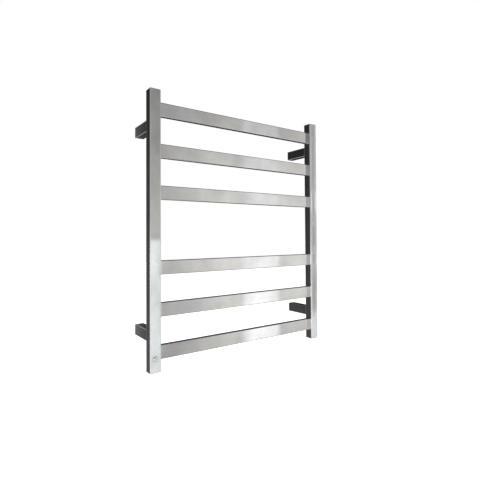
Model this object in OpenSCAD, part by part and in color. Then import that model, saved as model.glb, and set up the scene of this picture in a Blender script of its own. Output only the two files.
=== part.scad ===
// Electric towel warmer rack: six flat bars in two groups of three between square uprights,
// held off the wall by four standoffs. X runs across the rack, Y from the room to the wall and
// Z up. The origin is on the wall, at the centre of the four wall screws.

/* [Frame] */
// Overall width across the two uprights
rack_w = 600; // [500:5:800]
// Overall height of the uprights
rack_h = 750; // [700:5:900]
// Distance from the wall to the front of the uprights
wall_offset = 125; // [110:1:140]
// Width and depth of each square upright
upright_w = 30; // [30:1:34]
// Wall thickness of the uprights
upright_wall = 1.2; // [1:0.1:1.4]
// Outer corner radius of the uprights
upright_r = 2; // [1.5:0.1:2.5]

/* [Bars] */
// Height of each flat bar
bar_h = 38; // [34:1:42]
// Thickness of each flat bar, front to back
bar_t = 15; // [13:0.5:15]
// Wall thickness of the bars
bar_wall = 1; // [0.8:0.1:1.2]
// Outer corner radius of the bars
bar_r = 2; // [1.3:0.1:2.5]
// Setback of the bar fronts from the upright fronts
bar_setback = 12; // [10:0.5:13]
// Centre-to-centre distance of the bars in a group
bar_pitch = 112.5; // [105:0.5:115]
// Distance from each end of the frame to its nearest bar
bar_margin = 30; // [28:1:34]

/* [Standoffs] */
// Width of each standoff
standoff_w = 25; // [24:0.5:26]
// Height of each standoff
standoff_h = 30; // [29:0.5:32]
// Wall thickness of the standoffs
standoff_wall = 1.5; // [1.2:0.1:1.6]
// Distance from each end of the frame to the standoff centre
standoff_inset = 94; // [92:1:96]
// Length of the wall post inside each standoff
post_len = 45; // [35:1:50]
// Diameter of the wall screw hole in each post
wall_screw_d = 5.5; // [4.5:0.5:6]

/* [Push button] */
// Diameter of the bezel flange
bezel_d = 15; // [14:0.5:16]
// Diameter of the button head
button_d = 8.9; // [8.5:0.1:8.9]
// Height of the button centre above the lower end of the frame
button_height = 37; // [35:1:39]
// Distance that the button travels when it is pressed
button_travel = 1.5; // [1:0.1:2]

/* [Heating cable] */
// Diameter of the heating cable
cable_d = 3; // [2.5:0.1:3]
// Radius of the cable's bends
cable_bend_r = 6.5; // [6:0.1:6.5]
// Diameter of the insulated leads
lead_d = 1.6; // [1.4:0.1:1.6]

/* [Hidden] */
$fn = 64;

// How far a cut runs past the surface that it opens
over = 1;
// The inner corners of a tube are never sharper than this
inner_r_min = 0.3;
function inner_r(r, wall) = max(r - wall, inner_r_min);

// Colours
polished = [0.78, 0.77, 0.76];
zinc = [0.62, 0.63, 0.65];
blackened = [0.12, 0.12, 0.13];
brass = [0.80, 0.64, 0.30];
black_plastic = [0.08, 0.08, 0.09];
nylon = [0.88, 0.87, 0.82];
lens = [0.70, 0.76, 0.82];
silicone_red = [0.62, 0.16, 0.11];
brown = [0.36, 0.19, 0.10];
blue = [0.10, 0.28, 0.62];
earth_green = [0.45, 0.62, 0.12];

// Frame
LEFT = -1;
RIGHT = 1;
LOWER = -1;
UPPER = 1;
front_y = -wall_offset;
upright_x = (rack_w - upright_w) / 2;
upright_y = front_y + upright_w / 2;
upright_back_y = front_y + upright_w;
inner_x = rack_w / 2 - upright_w;
cap_t = 2;
cap_rim_r = 1;
cap_seam = 0.25;
cap_skirt = 8;
cap_skirt_wall = 1.5;
cap_skirt_r = inner_r(upright_r, upright_wall) + 0.3;
tube_h = rack_h - 2 * cap_t;
low_z = -rack_h / 2;

// Bars: 1 to 3 are the upper group, 4 to 6 the lower group
group_size = 3;
bar_count = 2 * group_size;
bar_y = front_y + bar_setback + bar_t / 2;
bar_len = 2 * (inner_x + upright_wall);
outer_bar_z = rack_h / 2 - bar_margin - bar_h / 2;
function bar_z(i) = i <= group_size
  ? outer_bar_z - (i - 1) * bar_pitch
  : (bar_count - i) * bar_pitch - outer_bar_z;

// Standoffs and wall posts
mount_z = rack_h / 2 - standoff_inset;
standoff_r = 1.5;
standoff_inner_r = 0.5;
standoff_gap = 0.5;
end_plate_t = 3;
standoff_len = wall_offset - upright_w - standoff_gap;
standoff_inner_w = standoff_w - 2 * standoff_wall;
standoff_inner_h = standoff_h - 2 * standoff_wall;
post_gap = 0.3;
post_w = standoff_inner_w - 2 * post_gap;
post_h = standoff_inner_h - 2 * post_gap;
post_wall = 3.5;
post_base_t = 4;
post_r = 0.8;
post_inner_r = 1;

// Screws: an M5 screw holds each standoff on a nut welded inside the upright
m5_d = 5;
m5_clearance_d = 5.3;
m5_head_d = 9;
m5_head_h = 2.6;
m5_socket_af = 3;
m5_socket_depth = 1.6;
m5_nut_af = 8;
m5_nut_h = 4;
m5_tip = 1.5;
standoff_screw_dz = 5;
grub_y = 20;
grub_recess = 0.2;
grub_pocket_depth = 2;
grub_pocket_d = 5.4;
grub_socket_af = 2.5;
grub_socket_depth = 2;

// Supply cable entry, in the lower left standoff
entry_dz = -8;
entry_bore_d = 6.5;
entry_hole_d = 8.5;
grommet_flange_d = 10.4;
grommet_flange_t = 1.2;
post_notch_d = 7.2;
post_notch_y = 10;

// Push button, measured back from the front of the upright
button_x = -upright_x;
button_z = low_z + button_height;
barrel_d = 12;
barrel_len = 13;
seal_t = 0.5;
seal_inset = 0.2;
flange_t = 1.4;
flange_chamfer = 0.5;
button_clearance = 0.15;
guide_d = button_d + 2 * button_clearance;
led_outer_d = guide_d + 1.8;
led_depth = 2.9;
flange_front = seal_t + flange_t;
button_proud = 0.4;
button_front = flange_front + button_proud;
button_head_len = 6;
button_chamfer = 0.35;
button_dish_r = 30;
button_dish_depth = 0.15;
stem_d = 3.6;
stem_len = 7.3;
stem_end = button_head_len - button_front + stem_len;
stem_clearance = 0.3;
spring_seat = 9;
stem_end_gap = 2;
switch_body_d = 11.6;
switch_body_end = 20.5;
switch_nut_af = 15;
switch_nut_h = 2.5;
tab_w = 2.8;
tab_t = 0.6;
tab_len = 4.9;
tab_dx = 1.6;

// Return spring of the button
spring_mean_r = 3;
spring_wire_r = 0.3;
spring_turns = 4.5;
spring_sides = 6;
spring_steps_per_turn = 16;

// Heating cable: it lies on the floor of each bar, near the back
rest_gap = 0.1;
wall_gap = 0.3;
cable_y = bar_y + bar_t / 2 - bar_wall - cable_d / 2 - wall_gap;
riser_x = inner_x + upright_wall + wall_gap + cable_bend_r;
return_x = rack_w / 2 - 8;
function cable_z(i) = bar_z(i) - bar_h / 2 + bar_wall + cable_d / 2 + rest_gap;

// Wiring in the left upright: heights above the lower end of the frame
splice_d = 5.4;
splice_len = 16;
splice_grip = 6;
cable_splice_z = low_z + 41;
cutout_z = low_z + 61;
cutout_size = [7.4, 4, 20];
cutout_r = 1;
cutout_turn_z = low_z + 89;
block_x = -upright_x + 1;
block_z = low_z + 113;
block_size = [21, 12, 24];
block_pitch = 7;
block_y = front_y + upright_wall + block_size[1] / 2;
block_hump = 1.5;
block_hump_w = 5;
block_entry_d = 3.4;
terminal_screw_d = 3.6;
terminal_screw_len = 6;
terminal_screw_dz = 6;
terminal_screw_recess = 0.8;
screw_slot_w = 0.7;
screw_slot_depth = 1;
live_turn_z = low_z + 141;
earth_turn_z = low_z + 150;
neutral_turn_z = low_z + 155;
return_splice_z = low_z + 165;
live_run_y = cable_y - 2.4;
lead_bend_r = 2.6;

// Earth connection on the outer wall of the left upright
earth_wall_x = -rack_w / 2 + upright_wall;
earth_z = low_z + 176;
earth_stud_d = 4;
earth_stud_len = 8;
earth_ring_d = 8.4;
earth_ring_t = 0.8;
earth_nut_af = 7;
earth_nut_h = 3.2;
earth_barrel_x = earth_wall_x + 2.4;
earth_barrel_z = low_z + 160;
earth_barrel_len = 8;
earth_barrel_d = 4;
earth_tongue_w = 3.2;
earth_tongue_low_z = earth_barrel_z + 1;
earth_tongue_high_z = earth_z - 2.5;

// A rectangle with rounded corners, centred
module rounded_rect(w, h, r) {
  square([w - 2 * r, h], center = true);
  square([w, h - 2 * r], center = true);
  for (x = [-1, 1])
    for (y = [-1, 1])
      translate([x * (w / 2 - r), y * (h / 2 - r)])
        circle(r = r);
}

// The cross-section of a rectangular tube
module tube_section(w, h, wall, r) {
  difference() {
    rounded_rect(w, h, r);
    rounded_rect(w - 2 * wall, h - 2 * wall, inner_r(r, wall));
  }
}

// A round rod along Y, from the front face f to the rear face b
module rod_y(d, f, b) {
  translate([0, b, 0])
    rotate([90, 0, 0])
      cylinder(d = d, h = b - f);
}

// A hexagonal rod along Y, with corners up and down
module hex_y(af, f, b) {
  translate([0, b, 0])
    rotate([90, 0, 0])
      rotate([0, 0, 30])
        cylinder(d = af / cos(30), h = b - f, $fn = 6);
}

function unit(v) = v / norm(v);

// A straight round rod between two points
module rod(a, b, d) {
  v = b - a;
  translate(a)
    rotate([0, acos(v[2] / norm(v)), atan2(v[1], v[0])])
      cylinder(d = d, h = norm(v));
}

// A bend of radius r in a rod that turns from direction u to direction v at a corner
module rod_bend(corner, u, v, r, d) {
  turn = acos(u * v);
  start = corner - u * r * tan(turn / 2);
  z_dir = unit(cross(u, v));
  x_dir = cross(u, z_dir);
  centre = start - x_dir * r;
  multmatrix([
    [x_dir[0], u[0], z_dir[0], centre[0]],
    [x_dir[1], u[1], z_dir[1], centre[1]],
    [x_dir[2], u[2], z_dir[2], centre[2]],
    [0, 0, 0, 1]
  ])
    rotate_extrude(angle = turn)
      translate([r, 0])
        circle(d = d);
}

// A round rod through a list of points, with bends of radius r at the inner points
module routed_rod(points, d, r) {
  last = len(points) - 1;
  dirs = [for (i = [0 : last - 1]) unit(points[i + 1] - points[i])];
  trims = [
    for (i = [0 : last])
      i == 0 || i == last ? 0 : r * tan(acos(dirs[i - 1] * dirs[i]) / 2)
  ];
  for (i = [0 : last - 1])
    rod(points[i] + dirs[i] * trims[i], points[i + 1] - dirs[i] * trims[i + 1], d);
  for (i = [1 : last - 1])
    rod_bend(points[i], dirs[i - 1], dirs[i], r, d);
}

// The places of the four standoffs, one child at each
module at_each_standoff() {
  for (side = [LEFT, RIGHT])
    for (level = [LOWER, UPPER])
      translate([side * upright_x, 0, level * mount_z])
        children();
}

// One upright: a square tube with a slot for each bar and a screw hole at each standoff
module upright(side) {
  color(polished)
    difference() {
      translate([side * upright_x, upright_y, -tube_h / 2])
        linear_extrude(tube_h)
          tube_section(upright_w, upright_w, upright_wall, upright_r);
      for (i = [1 : bar_count])
        translate([side * (inner_x + upright_wall / 2), bar_y, bar_z(i)])
          rotate([90, 0, 90])
            linear_extrude(upright_wall + over, center = true)
              rounded_rect(bar_t, bar_h, bar_r);
      for (level = [LOWER, UPPER])
        translate([side * upright_x, 0, level * mount_z + standoff_screw_dz])
          rod_y(m5_clearance_d, upright_back_y - upright_wall - over, upright_back_y + over);
      if (side == LEFT) {
        translate([button_x, 0, button_z])
          rod_y(barrel_d, front_y - over, front_y + upright_wall + over);
        translate([-upright_x, 0, entry_dz - mount_z])
          rod_y(entry_hole_d, upright_back_y - upright_wall - over, upright_back_y + over);
      }
    }
}

// One flat bar: a rectangular tube that ends flush with the inner wall of each upright
module bar(i) {
  color(polished)
    translate([-bar_len / 2, bar_y, bar_z(i)])
      rotate([90, 0, 90])
        linear_extrude(bar_len)
          tube_section(bar_t, bar_h, bar_wall, bar_r);
}

// A cap plate seen from one side: a rounded rim above and a small chamfer at the seam below
module cap_profile() {
  difference() {
    rounded_rect(upright_w, 2 * cap_t, cap_rim_r);
    for (side = [LEFT, RIGHT])
      translate([side * upright_w / 2, 0])
        rotate(45)
          square(cap_seam * sqrt(2), center = true);
  }
}

// The plate of an end cap, standing on its seam
module cap_plate() {
  intersection() {
    linear_extrude(cap_t)
      rounded_rect(upright_w, upright_w, upright_r);
    rotate([90, 0, 0])
      linear_extrude(upright_w + over, center = true)
        cap_profile();
    rotate([90, 0, 90])
      linear_extrude(upright_w + over, center = true)
        cap_profile();
  }
}

// One end cap: a flush plate with a skirt that presses into the upright
module end_cap(side, level) {
  skirt_w = upright_w - 2 * upright_wall;
  color(polished)
    translate([side * upright_x, upright_y, 0])
      rotate([level == LOWER ? 180 : 0, 0, 0])
        translate([0, 0, tube_h / 2]) {
          cap_plate();
          translate([0, 0, -cap_skirt])
            linear_extrude(cap_skirt)
              tube_section(skirt_w, skirt_w, cap_skirt_wall, cap_skirt_r);
        }
}

// One standoff: a rectangular sleeve with a plate at the upright end
module standoff(side, level) {
  color(polished)
    translate([side * upright_x, 0, level * mount_z])
      difference() {
        translate([0, -standoff_gap, 0])
          rotate([90, 0, 0])
            linear_extrude(standoff_len)
              rounded_rect(standoff_w, standoff_h, standoff_r);
        translate([0, over, 0])
          rotate([90, 0, 0])
            linear_extrude(over - upright_back_y - end_plate_t)
              rounded_rect(standoff_inner_w, standoff_inner_h, standoff_inner_r);
        translate([0, 0, standoff_screw_dz])
          rod_y(m5_clearance_d, upright_back_y - over, upright_back_y + end_plate_t + over);
        translate([0, -grub_y, -standoff_h / 2 - over])
          cylinder(d = m5_d, h = standoff_wall + 2 * over);
        if (side == LEFT && level == LOWER)
          translate([0, 0, entry_dz])
            rod_y(entry_hole_d, upright_back_y - over, upright_back_y + end_plate_t + over);
      }
}

// One wall post: a cup that is screwed to the wall through its base
module wall_post(side, level) {
  color(zinc)
    translate([side * upright_x, 0, level * mount_z])
      difference() {
        rotate([90, 0, 0])
          linear_extrude(post_len)
            rounded_rect(post_w, post_h, post_r);
        translate([0, -post_base_t, 0])
          rotate([90, 0, 0])
            linear_extrude(post_len)
              rounded_rect(post_w - 2 * post_wall, post_h - 2 * post_wall, post_inner_r);
        rod_y(wall_screw_d, -post_base_t - over, over);
        translate([0, -grub_y, -post_h / 2 - over])
          cylinder(d = grub_pocket_d, h = grub_pocket_depth + over);
        if (side == LEFT && level == LOWER)
          post_notch();
      }
}

// The notch that lets the supply cable into the lower left post
module post_notch() {
  translate([0, 0, entry_dz])
    rod_y(post_notch_d, -post_notch_y, over);
  translate([-post_notch_d / 2, -post_notch_y, -post_h])
    cube([post_notch_d, post_notch_y + over, post_h + entry_dz]);
}

// The screws that hold the standoffs on the uprights, driven from inside each standoff
module standoff_screws() {
  head_y = upright_back_y + end_plate_t;
  color(zinc)
    at_each_standoff()
      translate([0, 0, standoff_screw_dz])
        difference() {
          union() {
            rod_y(m5_d, upright_back_y - upright_wall - m5_nut_h - m5_tip, head_y);
            rod_y(m5_head_d, head_y, head_y + m5_head_h);
          }
          hex_y(m5_socket_af, head_y + m5_head_h - m5_socket_depth, head_y + m5_head_h + over);
        }
}

// The nuts welded inside the uprights
module weld_nuts() {
  nut_y = upright_back_y - upright_wall;
  color(zinc)
    at_each_standoff()
      translate([0, 0, standoff_screw_dz])
        difference() {
          hex_y(m5_nut_af, nut_y - m5_nut_h, nut_y);
          rod_y(m5_d, nut_y - m5_nut_h - over, nut_y + over);
        }
}

// The grub screws under the standoffs, each bearing on the floor of a pocket in its post
module grub_screws() {
  low = grub_recess - standoff_h / 2;
  high = grub_pocket_depth - post_h / 2;
  color(blackened)
    at_each_standoff()
      translate([0, -grub_y, low])
        difference() {
          cylinder(d = m5_d, h = high - low);
          translate([0, 0, -over])
            cylinder(d = grub_socket_af / cos(30), h = grub_socket_depth + over, $fn = 6);
        }
}

// Places a part of the push button: its own Y counts back from the front of the upright
module at_button() {
  translate([button_x, front_y, button_z])
    children();
}

// A solid of revolution about the button's axis: each point is [radius, distance behind the front]
module button_turned(points) {
  rotate([-90, 0, 0])
    rotate_extrude()
      polygon(points);
}

// The bezel: a chamfered flange on a barrel, with a recess for the light ring
module switch_bezel() {
  flange_r = bezel_d / 2;
  color(polished)
    at_button()
      button_turned([
        [led_outer_d / 2, -flange_front],
        [flange_r - flange_chamfer, -flange_front],
        [flange_r, flange_chamfer - flange_front],
        [flange_r, -seal_t],
        [barrel_d / 2, -seal_t],
        [barrel_d / 2, barrel_len],
        [guide_d / 2, barrel_len],
        [guide_d / 2, led_depth - flange_front],
        [led_outer_d / 2, led_depth - flange_front]
      ]);
}

// The flat rubber seal between the flange and the upright
module switch_seal() {
  color(black_plastic)
    at_button()
      difference() {
        rod_y(bezel_d - 2 * seal_inset, -seal_t, 0);
        rod_y(barrel_d, -seal_t - over, over);
      }
}

// The nut that clamps the bezel from inside the upright
module switch_nut() {
  color(zinc)
    at_button()
      difference() {
        hex_y(switch_nut_af, upright_wall, upright_wall + switch_nut_h);
        rod_y(barrel_d, 0, upright_wall + switch_nut_h + over);
      }
}

// The translucent ring that lights up round the button
module led_ring() {
  color(lens)
    at_button()
      difference() {
        rod_y(led_outer_d, -flange_front, led_depth - flange_front);
        rod_y(guide_d, -flange_front - over, led_depth);
      }
}

// The moving button: a dished head on a stem
module power_button() {
  head_r = button_d / 2;
  head_back = button_head_len - button_front;
  color(polished)
    at_button()
      difference() {
        button_turned([
          [0, -button_front],
          [head_r - button_chamfer, -button_front],
          [head_r, button_chamfer - button_front],
          [head_r, head_back],
          [stem_d / 2, head_back],
          [stem_d / 2, head_back + stem_len],
          [0, head_back + stem_len]
        ]);
        translate([0, button_dish_depth - button_front - button_dish_r, 0])
          sphere(r = button_dish_r);
      }
}

// The return spring between the button head and the switch body
module button_spring() {
  front = button_head_len - button_front + spring_wire_r;
  back = spring_seat - spring_wire_r;
  steps = spring_turns * spring_steps_per_turn;
  points = [
    for (i = [0 : steps])
      for (j = [0 : spring_sides - 1])
        let (
          turn = 360 * i / spring_steps_per_turn,
          side = 360 * j / spring_sides,
          r = spring_mean_r + spring_wire_r * cos(side),
          y = front + (back - front) * i / steps + spring_wire_r * sin(side)
        )
        [r * cos(turn), y, r * sin(turn)]
  ];
  walls = [
    for (i = [0 : steps - 1])
      for (j = [0 : spring_sides - 1])
        let (
          a = i * spring_sides + j,
          b = i * spring_sides + (j + 1) % spring_sides
        )
        [a, b, b + spring_sides, a + spring_sides]
  ];
  first_end = [for (j = [spring_sides - 1 : -1 : 0]) j];
  last_end = [for (j = [0 : spring_sides - 1]) steps * spring_sides + j];
  color(zinc)
    at_button()
      polyhedron(points, concat(walls, [first_end, last_end]));
}

// The contact block that plugs into the back of the barrel
module switch_body() {
  color(black_plastic)
    at_button()
      difference() {
        union() {
          rod_y(guide_d, spring_seat, barrel_len);
          rod_y(switch_body_d, barrel_len, switch_body_end);
        }
        rod_y(stem_d + 2 * stem_clearance, spring_seat - over, stem_end + button_travel + stem_end_gap);
      }
}

// The two solder tabs behind the contact block
module switch_tabs() {
  color(brass)
    at_button()
      for (x = [-tab_dx, tab_dx])
        translate([x - tab_t / 2, switch_body_end, -tab_w / 2])
          cube([tab_t, tab_len, tab_w]);
}

// The heating cable: from its splice through bars 6 to 1 in turn, then down the left upright
module heating_cable() {
  route = concat(
    [[-riser_x, cable_y, cable_splice_z + splice_grip]],
    [
      for (i = [bar_count : -1 : 1])
        for (end = [0, 1])
          let (side = (i + end) % 2 == 0 ? LEFT : RIGHT)
          [side * (i == 1 && end == 1 ? return_x : riser_x), cable_y, cable_z(i)]
    ],
    [[-return_x, cable_y, return_splice_z + splice_len - splice_grip]]
  );
  color(silicone_red)
    routed_rod(route, cable_d, cable_bend_r);
}

// One crimped splice: a sleeve that grips a wire at each end
module splice(x, z, lower_d, upper_d) {
  color(blue)
    translate([x, cable_y, z])
      difference() {
        cylinder(d = splice_d, h = splice_len);
        translate([0, 0, -over])
          cylinder(d = lower_d, h = splice_grip + over);
        translate([0, 0, splice_len - splice_grip])
          cylinder(d = upper_d, h = splice_grip + over);
      }
}

// The splice at the live end of the heating cable
module cable_splice() {
  splice(-riser_x, cable_splice_z, cable_d, lead_d);
}

// The splice at the neutral end of the heating cable
module return_splice() {
  splice(-return_x, return_splice_z, lead_d, cable_d);
}

// The thermal cutout, in line with the cable
module thermal_cutout() {
  color(black_plastic)
    translate([-riser_x, cable_y, cutout_z])
      linear_extrude(cutout_size[2])
        rounded_rect(cutout_size[0], cutout_size[1], cutout_r);
}

// The short lead from the splice to the thermal cutout
module cutout_lead() {
  color(brown)
    rod(
      [-riser_x, cable_y, cable_splice_z + splice_len - splice_grip],
      [-riser_x, cable_y, cutout_z],
      lead_d
    );
}

// The lead from the thermal cutout over to the switch
module switched_lead() {
  color(brown)
    routed_rod(
      [
        [-riser_x, cable_y, cutout_z + cutout_size[2]],
        [-riser_x, cable_y, cutout_turn_z],
        [button_x + tab_dx, cable_y, cutout_turn_z],
        [button_x + tab_dx, cable_y, button_z + tab_w / 2]
      ],
      lead_d,
      lead_bend_r
    );
}

// The place of a terminal's upper wire end: terminal -1 is earth, 0 neutral and 1 live
function terminal_top(i, h) = [block_x + i * block_pitch, block_y, h];
terminal_wire_z = block_z + block_size[2] - splice_grip;

// The lead from the live terminal down to the switch
module live_lead() {
  color(brown)
    routed_rod(
      [
        terminal_top(1, terminal_wire_z),
        terminal_top(1, live_turn_z),
        [block_x + block_pitch, live_run_y, live_turn_z],
        [button_x - tab_dx, live_run_y, live_turn_z],
        [button_x - tab_dx, live_run_y, button_z + tab_w / 2]
      ],
      lead_d,
      lead_bend_r
    );
}

// The lead from the neutral terminal up to the heating cable's return
module neutral_lead() {
  color(blue)
    routed_rod(
      [
        terminal_top(0, terminal_wire_z),
        terminal_top(0, neutral_turn_z),
        [block_x, cable_y, neutral_turn_z],
        [-return_x, cable_y, neutral_turn_z],
        [-return_x, cable_y, return_splice_z + splice_grip]
      ],
      lead_d,
      lead_bend_r
    );
}

// The lead from the earth terminal to the earth stud
module earth_lead() {
  color(earth_green)
    routed_rod(
      [
        terminal_top(-1, terminal_wire_z),
        terminal_top(-1, earth_turn_z),
        [earth_barrel_x, block_y, earth_turn_z],
        [earth_barrel_x, block_y, earth_barrel_z + earth_barrel_len]
      ],
      lead_d,
      lead_bend_r
    );
}

// The terminal block that the supply cable is wired to
module terminal_block() {
  rear = block_size[1] / 2;
  color(nylon)
    translate([block_x, block_y, block_z])
      difference() {
        union() {
          translate([-block_size[0] / 2, -rear, 0])
            cube([block_size[0], block_size[1] - block_hump, block_size[2]]);
          for (i = [-1 : 1])
            translate([i * block_pitch - block_hump_w / 2, -rear, 0])
              cube([block_hump_w, block_size[1], block_size[2]]);
        }
        for (i = [-1 : 1])
          translate([i * block_pitch, 0, 0]) {
            translate([0, 0, -over])
              cylinder(d = block_entry_d, h = splice_grip + over);
            translate([0, 0, block_size[2] - splice_grip])
              cylinder(d = lead_d, h = splice_grip + over);
            for (z = [terminal_screw_dz, block_size[2] - terminal_screw_dz])
              translate([0, 0, z])
                rod_y(terminal_screw_d, rear - terminal_screw_len, rear + over);
          }
      }
}

// The clamping screws of the terminal block, two at each terminal
module terminal_screws() {
  rear = block_y + block_size[1] / 2;
  top = rear - terminal_screw_recess;
  color(brass)
    for (i = [-1 : 1])
      for (z = [terminal_screw_dz, block_size[2] - terminal_screw_dz])
        translate([block_x + i * block_pitch, 0, block_z + z])
          difference() {
            rod_y(terminal_screw_d, rear - terminal_screw_len + lead_d, top);
            translate([-screw_slot_w / 2, top - screw_slot_depth, -terminal_screw_d])
              cube([screw_slot_w, screw_slot_depth + over, 2 * terminal_screw_d]);
          }
}

// The earth stud, welded to the outer wall of the left upright
module earth_stud() {
  color(zinc)
    translate([earth_wall_x, block_y, earth_z])
      rotate([0, 90, 0])
        cylinder(d = earth_stud_d, h = earth_stud_len);
}

// The ring terminal on the earth stud, with its crimped barrel
module earth_terminal() {
  color(brass)
    difference() {
      union() {
        translate([earth_wall_x, block_y, earth_z])
          rotate([0, 90, 0])
            cylinder(d = earth_ring_d, h = earth_ring_t);
        translate([earth_wall_x, block_y - earth_tongue_w / 2, earth_tongue_low_z])
          cube([earth_ring_t, earth_tongue_w, earth_tongue_high_z - earth_tongue_low_z]);
        translate([earth_barrel_x, block_y, earth_barrel_z])
          cylinder(d = earth_barrel_d, h = earth_barrel_len);
      }
      translate([earth_wall_x - over, block_y, earth_z])
        rotate([0, 90, 0])
          cylinder(d = earth_stud_d, h = earth_ring_t + 2 * over);
      translate([earth_barrel_x, block_y, earth_barrel_z - over])
        cylinder(d = lead_d, h = earth_barrel_len + 2 * over);
    }
}

// The nut on the earth stud
module earth_nut() {
  color(zinc)
    translate([earth_wall_x + earth_ring_t, block_y, earth_z])
      rotate([0, 90, 0])
        difference() {
          cylinder(d = earth_nut_af / cos(30), h = earth_nut_h, $fn = 6);
          translate([0, 0, -over])
            cylinder(d = earth_stud_d, h = earth_nut_h + 2 * over);
        }
}

// The rubber grommet that the supply cable comes in through
module cable_grommet() {
  inside = upright_back_y - upright_wall;
  outside = upright_back_y + end_plate_t;
  color(black_plastic)
    translate([-upright_x, 0, entry_dz - mount_z])
      difference() {
        union() {
          rod_y(entry_hole_d, inside, outside);
          rod_y(grommet_flange_d, inside - grommet_flange_t, inside);
          rod_y(grommet_flange_d, outside, outside + grommet_flange_t);
        }
        rod_y(entry_bore_d, inside - grommet_flange_t - over, outside + grommet_flange_t + over);
      }
}

upright(LEFT);  // left_upright
upright(RIGHT);  // right_upright
bar(1);  // bar_1
bar(2);  // bar_2
bar(3);  // bar_3
bar(4);  // bar_4
bar(5);  // bar_5
bar(6);  // bar_6
end_cap(LEFT, UPPER);  // cap_top_left
end_cap(RIGHT, UPPER);  // cap_top_right
end_cap(LEFT, LOWER);  // cap_bottom_left
end_cap(RIGHT, LOWER);  // cap_bottom_right
standoff(LEFT, UPPER);  // standoff_top_left
standoff(RIGHT, UPPER);  // standoff_top_right
standoff(LEFT, LOWER);  // standoff_bottom_left
standoff(RIGHT, LOWER);  // standoff_bottom_right
wall_post(LEFT, UPPER);  // wall_post_top_left
wall_post(RIGHT, UPPER);  // wall_post_top_right
wall_post(LEFT, LOWER);  // wall_post_bottom_left
wall_post(RIGHT, LOWER);  // wall_post_bottom_right
standoff_screws();
weld_nuts();
grub_screws();
switch_bezel();
switch_seal();
switch_nut();
led_ring();
power_button();
button_spring();
switch_body();
switch_tabs();
heating_cable();
cable_splice();
return_splice();
thermal_cutout();
cutout_lead();
switched_lead();
live_lead();
neutral_lead();
earth_lead();
terminal_block();
terminal_screws();
earth_stud();
earth_terminal();
earth_nut();
cable_grommet();
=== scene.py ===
"""Towel warmer rack: its looks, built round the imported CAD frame.

Lengths are in metres, angles in degrees.
"""

import math

import bmesh
import bpy
from mathutils import Matrix, Vector


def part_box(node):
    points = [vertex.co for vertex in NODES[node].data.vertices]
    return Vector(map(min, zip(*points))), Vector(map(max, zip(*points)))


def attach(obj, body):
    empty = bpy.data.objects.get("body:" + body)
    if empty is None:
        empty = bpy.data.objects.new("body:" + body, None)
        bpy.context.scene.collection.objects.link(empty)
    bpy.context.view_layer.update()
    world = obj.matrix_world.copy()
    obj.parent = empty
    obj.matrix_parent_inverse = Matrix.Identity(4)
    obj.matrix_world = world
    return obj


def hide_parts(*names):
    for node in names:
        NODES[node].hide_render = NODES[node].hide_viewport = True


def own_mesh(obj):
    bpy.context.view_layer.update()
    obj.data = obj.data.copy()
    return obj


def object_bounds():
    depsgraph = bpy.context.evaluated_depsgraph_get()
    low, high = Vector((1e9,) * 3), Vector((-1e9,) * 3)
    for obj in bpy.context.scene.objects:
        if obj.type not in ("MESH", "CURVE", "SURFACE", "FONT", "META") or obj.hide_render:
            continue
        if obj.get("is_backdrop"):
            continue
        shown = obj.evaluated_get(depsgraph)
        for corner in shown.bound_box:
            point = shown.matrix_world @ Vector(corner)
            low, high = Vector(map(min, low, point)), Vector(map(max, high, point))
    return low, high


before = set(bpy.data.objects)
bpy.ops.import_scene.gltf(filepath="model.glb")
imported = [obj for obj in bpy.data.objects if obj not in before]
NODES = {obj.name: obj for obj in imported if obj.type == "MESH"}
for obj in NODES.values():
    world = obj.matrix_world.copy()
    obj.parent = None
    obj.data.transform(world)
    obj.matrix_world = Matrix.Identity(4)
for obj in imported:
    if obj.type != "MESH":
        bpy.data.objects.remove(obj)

CAD_LOW, CAD_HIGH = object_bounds()
MM = 0.001

# ---------------------------------------------------------------- camera

LENS = 29.61
SENSOR = 36.0
SHIFT = (-0.0656, -0.0252)
CAMERA_YAW = 37.403
CAMERA_PITCH = 1.294
CAMERA_ROLL = -0.431
CAMERA_FROM_CENTRE = Vector((-0.67327, -1.07072, -0.02073))
CLIP_START, CLIP_END = 0.02, 60


def make_camera():
    """A camera at the viewing angle, with only the shift that the framing needs."""
    yaw, pitch, roll = (math.radians(v) for v in (CAMERA_YAW, CAMERA_PITCH, CAMERA_ROLL))
    ahead = Vector((math.sin(yaw) * math.cos(pitch), math.cos(yaw) * math.cos(pitch), math.sin(pitch)))
    level = Vector((math.cos(yaw), -math.sin(yaw), 0))
    above = level.cross(ahead)
    right = level * math.cos(roll) + above * math.sin(roll)
    up = above * math.cos(roll) - level * math.sin(roll)
    data = bpy.data.cameras.new("camera")
    camera = bpy.data.objects.new("camera", data)
    bpy.context.scene.collection.objects.link(camera)
    data.sensor_width = SENSOR
    data.lens = LENS
    data.shift_x, data.shift_y = SHIFT
    data.clip_start = CLIP_START
    data.clip_end = CLIP_END
    turn = Matrix((right, up, -ahead)).transposed().to_4x4()
    centre = (CAD_LOW + CAD_HIGH) / 2
    camera.matrix_world = Matrix.Translation(centre + CAMERA_FROM_CENTRE) @ turn
    bpy.context.scene.camera = camera


make_camera()

# ---------------------------------------------------------------- node helpers


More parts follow.
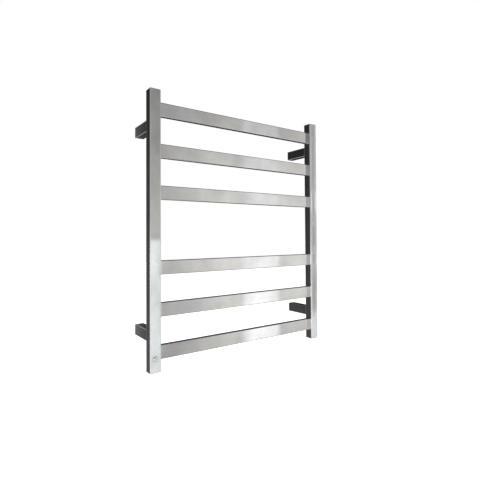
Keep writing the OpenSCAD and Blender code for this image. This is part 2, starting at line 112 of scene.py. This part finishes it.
class Net:
    """Builds a node tree from short calls. A value may be a number, a tuple or a socket."""

    def __init__(self, tree):
        self.tree = tree

    def add(self, kind, inputs=None, **settings):
        node = self.tree.nodes.new("ShaderNode" + kind)
        for key, value in settings.items():
            setattr(node, key, value)
        for key, value in (inputs or {}).items():
            self.put(node.inputs[key], value)
        return node

    def put(self, socket, value):
        """Links a socket or sets a plain value. None leaves the socket as it is."""
        if isinstance(value, bpy.types.NodeSocket):
            self.tree.links.new(value, socket)
        elif value is not None:
            socket.default_value = value

    def math(self, operation, a, b=None, c=None):
        node = self.add("Math", operation=operation)
        for socket, value in zip(node.inputs, (a, b, c)):
            self.put(socket, value)
        return node.outputs[0]

    def vector(self, operation, a, b=None):
        node = self.add("VectorMath", operation=operation)
        self.put(node.inputs[0], a)
        self.put(node.inputs[1], b)
        return node.outputs[0]

    def ramp(self, kind, value, low, high, to_low, to_high):
        inputs = {"Value": value, "From Min": low, "From Max": high, "To Min": to_low, "To Max": to_high}
        return self.add("MapRange", inputs, interpolation_type=kind).outputs["Result"]

    def step(self, value, low, high, to_low=0.0, to_high=1.0):
        """Smooth step of value, from to_low at low to to_high at high."""
        return self.ramp("SMOOTHSTEP", value, low, high, to_low, to_high)

    def line(self, value, low, high, to_low, to_high):
        """Straight ramp of value, held at its two ends."""
        return self.ramp("LINEAR", value, low, high, to_low, to_high)

    def spread(self, noise, to_low, to_high):
        """Stretches a noise, most of which lies between 0.3 and 0.7, over a range."""
        return self.line(noise, 0.3, 0.7, to_low, to_high)

    def mix(self, factor, a, b, blend="MIX"):
        node = self.add("Mix", data_type="RGBA", blend_type=blend, clamp_factor=True)
        self.put(node.inputs[0], factor)
        self.put(node.inputs[6], a)
        self.put(node.inputs[7], b)
        return node.outputs[2]

    def noise(self, vector, scale, detail=2.0, roughness=0.5):
        inputs = {"Vector": vector, "Scale": scale, "Detail": detail, "Roughness": roughness}
        return self.add("TexNoise", inputs).outputs["Fac"]

    def stretched(self, vector, scale, offset=(0, 0, 0)):
        inputs = {"Vector": vector, "Scale": scale, "Location": offset}
        return self.add("Mapping", inputs).outputs[0]

    def length(self, vector):
        return self.add("VectorMath", {0: vector}, operation="LENGTH").outputs["Value"]

    def bump(self, bsdf, height):
        """Gives the shader a relief of this height, in metres."""
        node = self.add("Bump", {"Strength": 1.0, "Distance": 1.0, "Height": height})
        self.put(bsdf.inputs["Normal"], node.outputs[0])


def rgb(r, g, b):
    return (r, g, b, 1.0)


# ---------------------------------------------------------------- studio

OVERHEAD = rgb(0.80, 0.80, 0.81)
SURROUND = rgb(0.022, 0.023, 0.021)
FLOOR_GLOW = rgb(0.55, 0.555, 0.56)
NEUTRAL = (1.0, 1.0, 1.0)
COOL = (0.97, 1.01, 1.02)
WARM = (1.01, 0.995, 0.965)
WHITE = rgb(1.0, 1.0, 1.0)

# Elevations at which the cards' lower and upper tones are reached
LOW_ANGLE, HIGH_ANGLE = -20.0, 20.0
# Elevations between which the studio turns into its ceiling and its floor
CEILING_START, CEILING_FULL = 70, 84
FLOOR_START, FLOOR_FULL = -54, -66
# Uneven light on the cards: how fine it is, and how far it goes either way
PATCH_SCALE = 16.0
PATCH_SQUASH = 0.6
PATCH_DEPTH = 0.15

# Cards that stand round the rack. Azimuths run from the front towards +X, elevations from the horizon,
# and later cards stand in front of earlier ones. Each card has three tones, which blend into each
# other: below the horizon, at it and above it.
CARDS = [
    # left, right, bottom, top, edge across, edge up, tones, tint
    (-178, -136, -88, 88, 6, 4, (0.085, 0.038, 0.015), NEUTRAL),
    (-176, -136, -66, -27, 8, 8, (0.62, 0.62, 0.62), NEUTRAL),
    (-134, -112, -50, 35, 8, 10, (0.50, 0.45, 0.40), NEUTRAL),
    (-108, -82, -60, 60, 5, 8, (0.42, 0.80, 0.36), COOL),
    (-77, -61, -24, 0, 4, 6, (3.6, 3.6, 3.6), NEUTRAL),
    (-57, -24, -58, 20, 6, 8, (0.66, 0.66, 0.12), NEUTRAL),
    (-22, 16, -60, 58, 6, 8, (0.60, 0.60, 0.55), COOL),
    (-8, 3, -60, 58, 5, 8, (1.0, 1.0, 0.9), COOL),
    (14, 30, -60, 0, 5, 1.5, (0.92, 0.98, 0.98), COOL),
    (14, 30, 0, 26, 5, 1.5, (0.60, 0.59, 0.28), WARM),
    (21.75, 48, -32, 25, 0.3, 7, (0.35, 0.62, 0.39), WARM),
    (27.8, 48, -32, 25, 11.5, 7, (0.64, 0.88, 0.46), WARM),
    (33.4, 38.5, -32, 25, 1.4, 7, (1.30, 0.96, 0.60), NEUTRAL),
    (38.5, 60, -32, 25, 0.6, 7, (0.53, 0.88, 0.46), WARM),
    (42.8, 66, -32, 25, 0.2, 7, (0.62, 0.65, 0.56), NEUTRAL),
    (42.8, 66, 3.5, 6.5, 0.2, 1.5, (0.95, 0.95, 0.95), COOL),
    (42.8, 66, -4.5, -1.5, 0.2, 2, (0.84, 0.84, 0.84), NEUTRAL),
    (42.8, 66, -32, -10.5, 0.2, 1, (0.86, 0.86, 0.86), COOL),
    (43.3, 43.7, -11, 25, 0.15, 2, (0.42, 0.42, 0.42), NEUTRAL),
    (76, 106, -46, 34, 5, 12, (0.42, 0.82, 0.40), COOL),
    (84, 88, -46, 34, 2, 8, (0.62, 0.98, 0.60), COOL),
    (107, 129, -36, 30, 8, 8, (0.50, 0.45, 0.40), NEUTRAL),
    (126, 166, -66, -22, 8, 5, (0.66, 0.66, 0.66), NEUTRAL),
    (126, 166, 25, 60, 8, 6, (0.45, 0.45, 0.45), COOL),
    (164, 196, -50, 38, 10, 10, (0.48, 0.74, 0.45), NEUTRAL),
    (176, 188, -50, 38, 6, 10, (0.70, 1.05, 0.70), COOL),
    (158, 202, 44, 76, 12, 8, (0.50, 0.50, 0.50), COOL),
]


def studio_world():
    """What the steel reflects: soft cards round a dark studio. The camera itself sees plain white."""
    world = bpy.data.worlds.new("studio")
    bpy.context.scene.world = world
    world.use_nodes = True
    world.node_tree.nodes.clear()
    n = Net(world.node_tree)
    way = n.add("TexCoord").outputs["Generated"]
    axes = n.add("SeparateXYZ", {"Vector": way}).outputs
    azimuth = n.math("DEGREES", n.math("ARCTAN2", axes[0], n.math("MULTIPLY", axes[1], -1.0)))
    back_azimuth = n.math("MODULO", n.math("ADD", azimuth, 360.0), 360.0)
    height = n.math("DEGREES", n.math("ARCSINE", axes[2]))
    fall = n.line(height, LOW_ANGLE, 0.0, 1.0, 0.0)
    rise = n.line(height, 0.0, HIGH_ANGLE, 0.0, 1.0)

    def window(a0, a1, e0, e1, soft_a, soft_e):
        across = back_azimuth if a1 > 180 else azimuth
        left = n.step(across, a0 - soft_a / 2, a0 + soft_a / 2)
        right = n.step(across, a1 - soft_a / 2, a1 + soft_a / 2, 1.0, 0.0)
        low = n.step(height, e0 - soft_e / 2, e0 + soft_e / 2)
        high = n.step(height, e1 - soft_e / 2, e1 + soft_e / 2, 1.0, 0.0)
        return n.math("MULTIPLY", n.math("MULTIPLY", left, right), n.math("MULTIPLY", low, high))

    def card_colour(tones, tint):
        below, level, above = (rgb(*(tone * part for part in tint)) for tone in tones)
        return n.mix(rise, n.mix(fall, level, below), above)

    colour = n.mix(n.step(height, CEILING_START, CEILING_FULL), SURROUND, OVERHEAD)
    colour = n.mix(n.step(height, FLOOR_START, FLOOR_FULL), colour, FLOOR_GLOW)
    for *edges, tones, tint in CARDS:
        colour = n.mix(window(*edges), colour, card_colour(tones, tint))
    patches = n.noise(n.stretched(way, (1, 1, PATCH_SQUASH)), PATCH_SCALE, 4, 0.65)
    light_or_dark = n.spread(patches, 1 - PATCH_DEPTH, 1 + PATCH_DEPTH)
    colour = n.mix(1.0, colour, light_or_dark, "MULTIPLY")

    seen = n.add("LightPath").outputs["Is Camera Ray"]
    colour = n.mix(seen, colour, WHITE)
    background = n.add("Background", {"Color": colour, "Strength": 1.0})
    out = n.add("OutputWorld")
    n.tree.links.new(background.outputs[0], out.inputs["Surface"])


def soft_light(name, place, target, size, energy):
    data = bpy.data.lights.new(name, "AREA")
    data.shape = "RECTANGLE"
    data.size, data.size_y = size
    data.energy = energy
    light = bpy.data.objects.new(name, data)
    bpy.context.scene.collection.objects.link(light)
    light.location = place
    light.rotation_mode = "QUATERNION"
    light.rotation_quaternion = (Vector(target) - Vector(place)).to_track_quat("-Z", "Y")
    light.visible_glossy = False
    light.visible_camera = False


FLOOR_RADIUS = 22.0
FLOOR_DROP = 1.0
FLOOR_SEGMENTS = 96
FLOOR_GRAIN = 3.0
FLOOR_ROUGHNESS = 0.9
# Distances from the rack between which the floor's own glow rises, and the glow at each
GLOW_NEAR, GLOW_FAR = 1.5, 7.0
GLOW_LOW, GLOW_HIGH = 0.75, 1.0


def studio_floor():
    """A plain pale floor well below the rack, so wide that it fades into the white behind it."""
    mesh = bpy.data.meshes.new("floor")
    bm = bmesh.new()
    bmesh.ops.create_circle(bm, cap_ends=True, segments=FLOOR_SEGMENTS, radius=FLOOR_RADIUS)
    bm.to_mesh(mesh)
    bm.free()
    floor = bpy.data.objects.new("floor", mesh)
    bpy.context.scene.collection.objects.link(floor)
    floor.location = (0, 0, CAD_LOW.z - FLOOR_DROP)
    floor.visible_glossy = False
    material = bpy.data.materials.new("floor")
    material.use_nodes = True
    n = Net(material.node_tree)
    bsdf = material.node_tree.nodes["Principled BSDF"]
    place = n.add("TexCoord").outputs["Object"]
    grain = n.noise(place, FLOOR_GRAIN, 4)
    n.put(bsdf.inputs["Base Color"], n.mix(grain, rgb(0.86, 0.86, 0.855), rgb(0.90, 0.90, 0.90)))
    n.put(bsdf.inputs["Roughness"], FLOOR_ROUGHNESS)
    n.put(bsdf.inputs["Emission Color"], WHITE)
    glow = n.step(n.length(place), GLOW_NEAR, GLOW_FAR, GLOW_LOW, GLOW_HIGH)
    n.put(bsdf.inputs["Emission Strength"], glow)
    mesh.materials.append(material)
    floor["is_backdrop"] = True


bpy.context.scene.view_settings.view_transform = "Standard"
studio_world()
soft_light("key", place=(2.2, -3.0, 2.0), target=(0, 0, 0), size=(2.0, 2.0), energy=120)
soft_light("fill", place=(-3.0, -2.4, 1.2), target=(0, 0, 0), size=(2.5, 2.5), energy=80)
soft_light("top", place=(0, 0, 4.0), target=(0, 0, -1), size=(5.0, 5.0), energy=260)
studio_floor()

# ---------------------------------------------------------------- materials


def new_material(name):
    material = bpy.data.materials.new(name)
    material.use_nodes = True
    n = Net(material.node_tree)
    return material, n, material.node_tree.nodes["Principled BSDF"]


def edge_distance(n, place, low, high):
    """How far a point on a box-shaped node is from the box's nearest edge."""
    centre = (low + high) / 2
    half = (high - low) / 2
    from_centre = n.vector("ABSOLUTE", n.vector("SUBTRACT", place, tuple(centre)))
    gaps = n.add("SeparateXYZ", {"Vector": n.vector("SUBTRACT", tuple(half), from_centre)}).outputs
    total = n.math("ADD", n.math("ADD", gaps[0], gaps[1]), gaps[2])
    widest = n.math("MAXIMUM", n.math("MAXIMUM", gaps[0], gaps[1]), gaps[2])
    return n.math("SUBTRACT", total, widest)


# How much finer the noise is across each direction of drawing than along it
GRAIN = {"x": (1, 40, 40), "y": (40, 1, 40), "z": (40, 40, 1)}
WISPS = {"x": (3, 40, 40), "y": (40, 3, 40), "z": (40, 40, 3)}

# Noise scales, per metre
LINE_SCALE = 36
STREAK_SCALE = 7
SMUDGE_SCALE = 22
SPECK_SCALE = 420
TINT_SCALE = 9
WAVE_SCALE = 13
RIPPLE_SCALE = 3.2

# Colours of the steel, and how strongly each mark shows
STEEL_DULL, STEEL_BRIGHT = rgb(0.80, 0.80, 0.795), rgb(0.86, 0.86, 0.865)
STREAK_COLOUR, STREAK_SHARE = rgb(0.72, 0.715, 0.71), 0.38
SMUDGE_COLOUR, SMUDGE_SHARE = rgb(0.72, 0.71, 0.69), 0.30
# The edge colour is lighter partly as wear and partly as a painted highlight along the corners
WORN_EDGE_HIGHLIGHT_COLOUR, WORN_EDGE_HIGHLIGHT_SHARE = rgb(0.90, 0.90, 0.90), 0.5

# Roughness of the polish, and what each mark adds to it
POLISH_LOW, POLISH_HIGH = 0.015, 0.04
SMUDGE_ROUGH, RUBBED_ROUGH, SPECK_ROUGH = 0.045, 0.03, 0.03

# Edges are worn, and lightened as a painted highlight, within this distance, and fully so at the second
# one
EDGE_WEAR_AND_HIGHLIGHT_START, EDGE_WEAR_AND_HIGHLIGHT_FULL = 2.2 * MM, 0.2 * MM
WAVE_HEIGHT = 0.10 * MM
RIPPLE_HEIGHT = 0.006 * MM
LINE_HEIGHT = 0.0005 * MM


def polished_steel(name, seed, low, high, along, wave):
    """Mirror-polished stainless steel with drawing lines, faint waves, smudges, and worn edges that are
    also lightened as a painted highlight.
    """
    material, n, bsdf = new_material(name)
    place = n.add("TexCoord").outputs["Object"]
    offset = (seed * 1.7, seed * 2.3, seed * 0.9)
    moved = n.stretched(place, (1, 1, 1), offset)
    lines = n.noise(n.stretched(moved, GRAIN[along]), LINE_SCALE, 3, 0.65)
    streaks = n.noise(n.stretched(moved, WISPS[along]), STREAK_SCALE, 3, 0.6)
    smudge = n.step(n.noise(moved, SMUDGE_SCALE, 5, 0.62), 0.50, 0.72)
    specks = n.step(n.noise(moved, SPECK_SCALE, 2, 0.5), 0.62, 0.72)
    edge_wear_and_highlight = n.step(edge_distance(n, place, low, high), EDGE_WEAR_AND_HIGHLIGHT_START, EDGE_WEAR_AND_HIGHLIGHT_FULL)

    tint = n.mix(n.noise(moved, TINT_SCALE, 2), STEEL_DULL, STEEL_BRIGHT)
    tint = n.mix(n.math("MULTIPLY", n.step(streaks, 0.35, 0.7), STREAK_SHARE), tint, STREAK_COLOUR)
    tint = n.mix(n.math("MULTIPLY", smudge, SMUDGE_SHARE), tint, SMUDGE_COLOUR)
    # Lighter edges: partly wear, partly a painted highlight along the corners
    tint = n.mix(n.math("MULTIPLY", edge_wear_and_highlight, WORN_EDGE_HIGHLIGHT_SHARE), tint, WORN_EDGE_HIGHLIGHT_COLOUR)
    n.put(bsdf.inputs["Base Color"], tint)
    n.put(bsdf.inputs["Metallic"], 1.0)

    rough = n.spread(lines, POLISH_LOW, POLISH_HIGH)
    rough = n.math("MULTIPLY_ADD", smudge, SMUDGE_ROUGH, rough)
    rough = n.math("MULTIPLY_ADD", edge_wear_and_highlight, RUBBED_ROUGH, rough)
    rough = n.math("MULTIPLY_ADD", specks, SPECK_ROUGH, rough)
    n.put(bsdf.inputs["Roughness"], rough)

    waves = n.math("MULTIPLY", n.noise(moved, WAVE_SCALE, 1, 0.4), WAVE_HEIGHT * wave)
    rippled = n.noise(n.stretched(moved, GRAIN[along]), RIPPLE_SCALE, 1, 0.4)
    ripples = n.math("MULTIPLY", rippled, RIPPLE_HEIGHT * wave)
    fine = n.math("MULTIPLY", lines, LINE_HEIGHT)
    n.bump(bsdf, n.math("ADD", n.math("ADD", waves, ripples), fine))
    return material


# Rings that the lathe leaves, per metre of radius, and their depth
RING_SCALE = 9000
RING_DEPTH = 0.0015 * MM
HANDLING_SCALE = 160
TURNED_LOW, TURNED_HIGH = 0.24, 0.34


def turned_steel(name, centre, seed):
    """Polished steel turned on a lathe about the Y axis: rings round the centre."""
    material, n, bsdf = new_material(name)
    place = n.vector("SUBTRACT", n.add("TexCoord").outputs["Object"], tuple(centre))
    flat = n.vector("MULTIPLY", place, (1, 0, 1))
    along_radius = {"W": n.length(flat), "Scale": RING_SCALE, "Detail": 2.0}
    rings = n.add("TexNoise", along_radius, noise_dimensions="1D").outputs["Fac"]
    handled = n.noise(n.stretched(place, (1, 1, 1), (seed, seed, 0)), HANDLING_SCALE, 3)
    smudge = n.step(handled, 0.5, 0.75)
    tint = n.mix(rings, rgb(0.76, 0.76, 0.765), rgb(0.88, 0.88, 0.88))
    tint = n.mix(n.math("MULTIPLY", smudge, 0.4), tint, rgb(0.66, 0.65, 0.64))
    n.put(bsdf.inputs["Base Color"], tint)
    n.put(bsdf.inputs["Metallic"], 1.0)
    rough = n.spread(rings, TURNED_LOW, TURNED_HIGH)
    n.put(bsdf.inputs["Roughness"], n.math("MULTIPLY_ADD", smudge, 0.08, rough))
    n.bump(bsdf, n.math("MULTIPLY", rings, RING_DEPTH))
    return material


def plated_metal(name, dark, light, rough_low, rough_high, grain_scale, relief):
    """Plated or blackened metal: mottled colour, uneven sheen and fine pits."""
    material, n, bsdf = new_material(name)
    place = n.add("TexCoord").outputs["Object"]
    mottle = n.noise(place, grain_scale, 4, 0.6)
    cloud = n.noise(place, grain_scale * 0.2, 3, 0.5)
    pits = n.noise(place, grain_scale * 9, 2, 0.5)
    shade = n.math("MULTIPLY_ADD", cloud, 0.5, n.math("MULTIPLY", mottle, 0.5))
    n.put(bsdf.inputs["Base Color"], n.mix(shade, dark, light))
    n.put(bsdf.inputs["Metallic"], 1.0)
    n.put(bsdf.inputs["Roughness"], n.spread(mottle, rough_low, rough_high))
    n.bump(bsdf, n.math("MULTIPLY", n.math("ADD", mottle, pits), relief))
    return material


def moulded(name, dark, light, rough_low, rough_high, grain_scale, relief, specular=0.5):
    """Moulded plastic, rubber or sleeve: a fine eroded grain with faint cloudiness and scuffs."""
    material, n, bsdf = new_material(name)
    place = n.add("TexCoord").outputs["Object"]
    grain = n.noise(place, grain_scale, 3, 0.6)
    cloud = n.noise(place, grain_scale * 0.06, 3, 0.5)
    scuff = n.step(n.noise(n.stretched(place, (1, 6, 2)), grain_scale * 0.3, 4, 0.6), 0.58, 0.74)
    shade = n.math("MULTIPLY_ADD", grain, 0.35, n.math("MULTIPLY", cloud, 0.65))
    colour = n.mix(shade, dark, light)
    n.put(bsdf.inputs["Base Color"], n.mix(n.math("MULTIPLY", scuff, 0.25), colour, light))
    rough = n.spread(grain, rough_low, rough_high)
    n.put(bsdf.inputs["Roughness"], n.math("MULTIPLY_ADD", scuff, 0.08, rough))
    n.put(bsdf.inputs["Specular IOR Level"], specular)
    n.bump(bsdf, n.math("MULTIPLY", grain, relief))
    return material


def set_material(node, material):
    slots = NODES[node].data.materials
    for i in range(len(slots)):
        slots[i] = material


# Polished kinds of node: the direction they were drawn in, and how wavy the polish is
POLISHED = {"upright": ("z", 0.2), "bar": ("x", 0.95), "standoff": ("y", 0.5), "cap": ("x", 0.3)}
for index, node in enumerate(sorted(NODES)):
    kind = next((k for k in POLISHED if k in node and "screws" not in node), None)
    if kind:
        low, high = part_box(node)
        set_material(node, polished_steel("steel_" + node, index + 1, low, high, *POLISHED[kind]))

button_low, button_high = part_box("power_button")
button_centre = (button_low + button_high) / 2
for node in ("switch_bezel", "power_button"):
    set_material(node, turned_steel("turned_" + node, button_centre, len(node)))

# dark, light, least and most roughness, grain per metre, relief
zinc = plated_metal(
    "zinc_plate", rgb(0.52, 0.54, 0.56), rgb(0.72, 0.73, 0.74), 0.26, 0.42, 700, 0.004 * MM)
black_steel = plated_metal(
    "black_oxide", rgb(0.035, 0.034, 0.036), rgb(0.09, 0.088, 0.085), 0.32, 0.5, 900, 0.004 * MM)
spring = plated_metal(
    "spring_wire", rgb(0.42, 0.42, 0.43), rgb(0.60, 0.60, 0.60), 0.22, 0.36, 1500, 0.001 * MM)
brass = plated_metal(
    "brass", rgb(0.66, 0.47, 0.20), rgb(0.86, 0.66, 0.33), 0.20, 0.38, 800, 0.002 * MM)
# the same, and the specular level where it isn't the usual one
rubber = moulded(
    "rubber", rgb(0.012, 0.012, 0.013), rgb(0.035, 0.035, 0.036), 0.55, 0.75, 2200, 0.012 * MM, 0.3)
black_plastic = moulded(
    "black_plastic", rgb(0.016, 0.016, 0.017), rgb(0.04, 0.04, 0.042), 0.34, 0.5, 3000, 0.006 * MM)
nylon = moulded(
    "nylon", rgb(0.66, 0.64, 0.58), rgb(0.80, 0.78, 0.72), 0.35, 0.5, 2600, 0.005 * MM)
silicone = moulded(
    "silicone", rgb(0.36, 0.035, 0.025), rgb(0.50, 0.065, 0.045), 0.42, 0.58, 1800, 0.008 * MM, 0.35)
sleeve = moulded(
    "sleeve", rgb(0.62, 0.60, 0.54), rgb(0.78, 0.76, 0.70), 0.40, 0.56, 1600, 0.010 * MM)
brown = moulded(
    "lead_brown", rgb(0.10, 0.042, 0.018), rgb(0.17, 0.075, 0.035), 0.34, 0.48, 2400, 0.004 * MM)
blue = moulded(
    "lead_blue", rgb(0.02, 0.07, 0.26), rgb(0.04, 0.12, 0.38), 0.34, 0.48, 2400, 0.004 * MM)

LEAD_GRAIN = 2400
LEAD_RELIEF = 0.004 * MM
# How fast the earth lead's stripe turns, per metre along X and along Z
STRIPE_X, STRIPE_Z = 260, 190


def earth_insulation():
    """Green insulation with a yellow stripe that winds along it."""
    material, n, bsdf = new_material("lead_earth")
    place = n.add("TexCoord").outputs["Object"]
    axes = n.add("SeparateXYZ", {"Vector": place}).outputs
    turn = n.math("MULTIPLY_ADD", axes[0], STRIPE_X, n.math("MULTIPLY", axes[2], STRIPE_Z))
    stripe = n.step(n.math("SINE", turn), 0.1, 0.3)
    grain = n.noise(place, LEAD_GRAIN, 3)
    green = n.mix(grain, rgb(0.02, 0.16, 0.03), rgb(0.04, 0.24, 0.05))
    yellow = n.mix(grain, rgb(0.60, 0.47, 0.02), rgb(0.75, 0.60, 0.04))
    n.put(bsdf.inputs["Base Color"], n.mix(stripe, green, yellow))
    n.put(bsdf.inputs["Roughness"], n.spread(grain, 0.34, 0.48))
    n.bump(bsdf, n.math("MULTIPLY", grain, LEAD_RELIEF))
    return material


LENS_CLOUD = 500
LENS_RELIEF = 0.004 * MM
LENS_SCATTER = 0.15
LENS_SCATTER_DEPTH = 0.3 * MM


def frosted_lens():
    """The translucent ring round the button, softly cloudy."""
    material, n, bsdf = new_material("frosted_lens")
    place = n.add("TexCoord").outputs["Object"]
    cloud = n.noise(place, LENS_CLOUD, 3)
    n.put(bsdf.inputs["Base Color"], n.mix(cloud, rgb(0.40, 0.41, 0.42), rgb(0.52, 0.53, 0.54)))
    n.put(bsdf.inputs["Roughness"], n.spread(cloud, 0.22, 0.38))
    n.put(bsdf.inputs["Subsurface Weight"], LENS_SCATTER)
    n.put(bsdf.inputs["Subsurface Radius"], (1.0, 1.0, 1.0))
    n.put(bsdf.inputs["Subsurface Scale"], LENS_SCATTER_DEPTH)
    n.bump(bsdf, n.math("MULTIPLY", cloud, LENS_RELIEF))
    return material


FINISHES = {
    zinc: [
        "wall_post_top_left", "wall_post_top_right", "wall_post_bottom_left", "wall_post_bottom_right",
        "standoff_screws", "weld_nuts", "switch_nut", "earth_stud", "earth_nut",
    ],
    black_steel: ["grub_screws"],
    brass: ["switch_tabs", "terminal_screws", "earth_terminal"],
    rubber: ["switch_seal", "cable_grommet"],
    black_plastic: ["switch_body", "thermal_cutout"],
    nylon: ["terminal_block"],
    silicone: ["heating_cable"],
    sleeve: ["cable_splice", "return_splice"],
    brown: ["cutout_lead", "switched_lead", "live_lead"],
    blue: ["neutral_lead"],
    earth_insulation(): ["earth_lead"],
    frosted_lens(): ["led_ring"],
}
for material, nodes in FINISHES.items():
    for node in nodes:
        set_material(node, material)

# ---------------------------------------------------------------- return spring

SPRING_TURNS = 4.5
SPRING_WIRE_R = 0.3 * MM
SPRING_GAP = 0.01 * MM
STEPS_PER_TURN = 48
WIRE_SIDES = 14


def return_spring(material):
    """The button's return spring: a fixed coil in place of the button_spring part, fixed to the rack."""
    low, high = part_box("button_spring")
    centre = (low + high) / 2
    coil_r = (high.x - low.x) / 2 - SPRING_WIRE_R
    front = low.y + SPRING_WIRE_R + SPRING_GAP
    rise = high.y - SPRING_WIRE_R - front
    steps = round(SPRING_TURNS * STEPS_PER_TURN)
    bm = bmesh.new()
    rings = []
    for i in range(steps + 1):
        turn = math.tau * i / STEPS_PER_TURN
        ring = []
        for j in range(WIRE_SIDES):
            side = math.tau * j / WIRE_SIDES
            r = coil_r + SPRING_WIRE_R * math.cos(side)
            y = front + rise * i / steps + SPRING_WIRE_R * math.sin(side)
            ring.append(bm.verts.new((centre.x + r * math.cos(turn), y, centre.z + r * math.sin(turn))))
        rings.append(ring)
    for a, b in zip(rings, rings[1:]):
        for j in range(WIRE_SIDES):
            k = (j + 1) % WIRE_SIDES
            bm.faces.new((a[j], a[k], b[k], b[j])).smooth = True
    bm.faces.new(rings[0])
    bm.faces.new(rings[-1])
    bmesh.ops.recalc_face_normals(bm, faces=bm.faces)
    mesh = bpy.data.meshes.new("return_spring")
    bm.to_mesh(mesh)
    bm.free()
    piece = bpy.data.objects.new("return_spring", mesh)
    bpy.context.scene.collection.objects.link(piece)
    mesh.materials.append(material)
    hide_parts("button_spring")
    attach(piece, "rack")
    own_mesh(piece)


return_spring(spring)

# ---------------------------------------------------------------- overall bounds

low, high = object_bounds()
